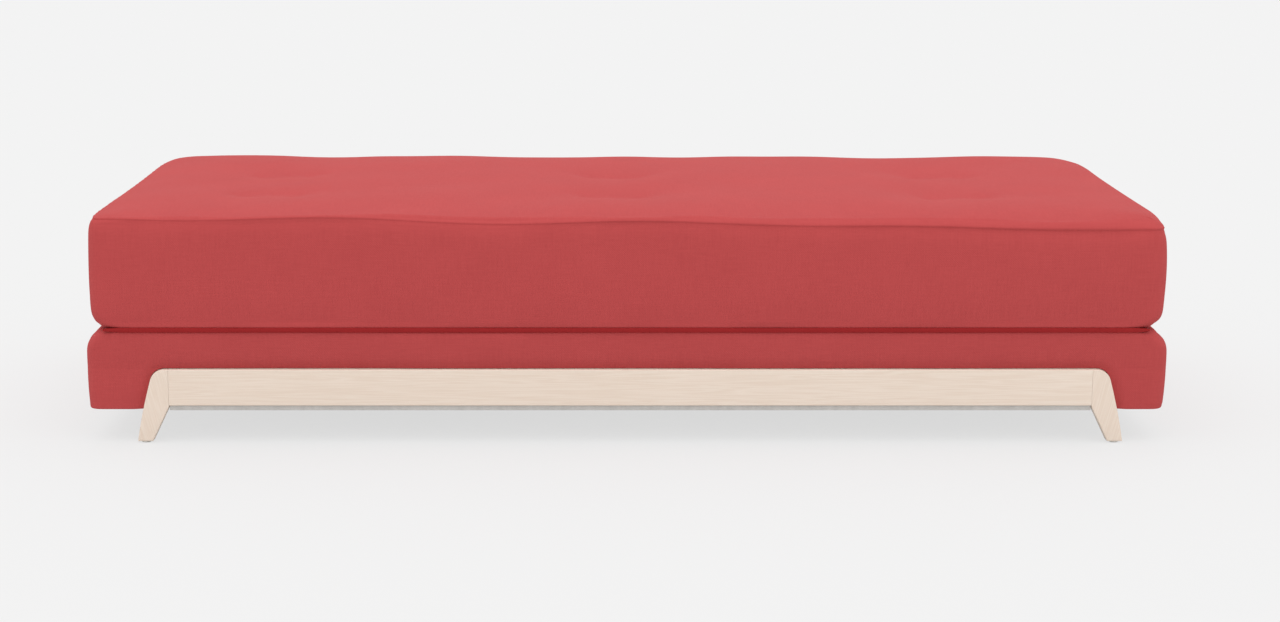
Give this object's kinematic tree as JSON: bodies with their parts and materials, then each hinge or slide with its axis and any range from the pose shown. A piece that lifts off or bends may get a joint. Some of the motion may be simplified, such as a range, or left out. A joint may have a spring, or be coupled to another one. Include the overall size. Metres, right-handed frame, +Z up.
{
  "type": "sofa bed",
  "caption": "Backless sofa bed: tufted mattress on an upholstered base with a pale wooden frame on splayed legs; the mattress folds over the front edge to widen the bed.",
  "frame": {"origin": "on the floor, under the middle of the whole object's bounding box", "axes": "+X to the right along the length as seen from the front, +Y from the front to the rear, +Z up"},
  "size_m": [2.074, 0.88, 0.4435],
  "materials": {
    "upholstery_fabric": "matte",
    "frame_wood": "satin",
    "carcass_timber": "matte",
    "foam": "matte",
    "underside_lining": "matte",
    "bolt_steel": "satin",
    "slider_steel": "satin",
    "glide_plastic": "matte",
    "zip_tape": "matte",
    "tie_cord": "matte"
  },
  "bodies": {
    "base": {"front_rail": "frame_wood", "rear_rail": "frame_wood", "front_left_leg": "frame_wood", "front_right_leg": "frame_wood", "rear_left_leg": "frame_wood", "rear_right_leg": "frame_wood", "front_left_tenon": "carcass_timber", "front_right_tenon": "carcass_timber", "rear_left_tenon": "carcass_timber", "rear_right_tenon": "carcass_timber", "front_left_glide": "glide_plastic", "front_right_glide": "glide_plastic", "rear_left_glide": "glide_plastic", "rear_right_glide": "glide_plastic", "carcass_front_board": "carcass_timber", "carcass_rear_board": "carcass_timber", "carcass_left_board": "carcass_timber", "carcass_right_board": "carcass_timber", "centre_beam": "carcass_timber", "slat_1": "carcass_timber", "slat_2": "carcass_timber", "slat_3": "carcass_timber", "slat_4": "carcass_timber", "slat_5": "carcass_timber", "slat_6": "carcass_timber", "slat_7": "carcass_timber", "slat_8": "carcass_timber", "slat_9": "carcass_timber", "front_bolt_1": "bolt_steel", "front_bolt_2": "bolt_steel", "front_bolt_3": "bolt_steel", "front_bolt_4": "bolt_steel", "rear_bolt_1": "bolt_steel", "rear_bolt_2": "bolt_steel", "rear_bolt_3": "bolt_steel", "rear_bolt_4": "bolt_steel", "front_insert_1": "bolt_steel", "front_insert_2": "bolt_steel", "front_insert_3": "bolt_steel", "front_insert_4": "bolt_steel", "rear_insert_1": "bolt_steel", "rear_insert_2": "bolt_steel", "rear_insert_3": "bolt_steel", "rear_insert_4": "bolt_steel", "underside_panel": "underside_lining", "base_foam": "foam", "base_cover": "upholstery_fabric", "fold_hinge_strip": "upholstery_fabric"},
    "mattress": {"mattress_cover": "upholstery_fabric", "mattress_core": "foam", "tuft_tie_front_left": "tie_cord", "tuft_tie_front_middle": "tie_cord", "tuft_tie_front_right": "tie_cord", "tuft_tie_rear_left": "tie_cord", "tuft_tie_rear_middle": "tie_cord", "tuft_tie_rear_right": "tie_cord", "mattress_zip": "zip_tape"},
    "zip_slider": {"mattress_zip_slider": "slider_steel"}
  },
  "joints": [
    {"name": "mattress_fold", "type": "hinge", "parent": "base", "child": "mattress", "pos_m": [0, -0.435, 0.222], "axis": [1, 0, 0], "range_deg": [0, 180], "deforming": ["fold_hinge_strip"]},
    {"name": "zip_slide", "type": "slide", "parent": "mattress", "child": "zip_slider", "axis": [-1, 0, 0], "range_m": [0, 1.74]}
  ]
}
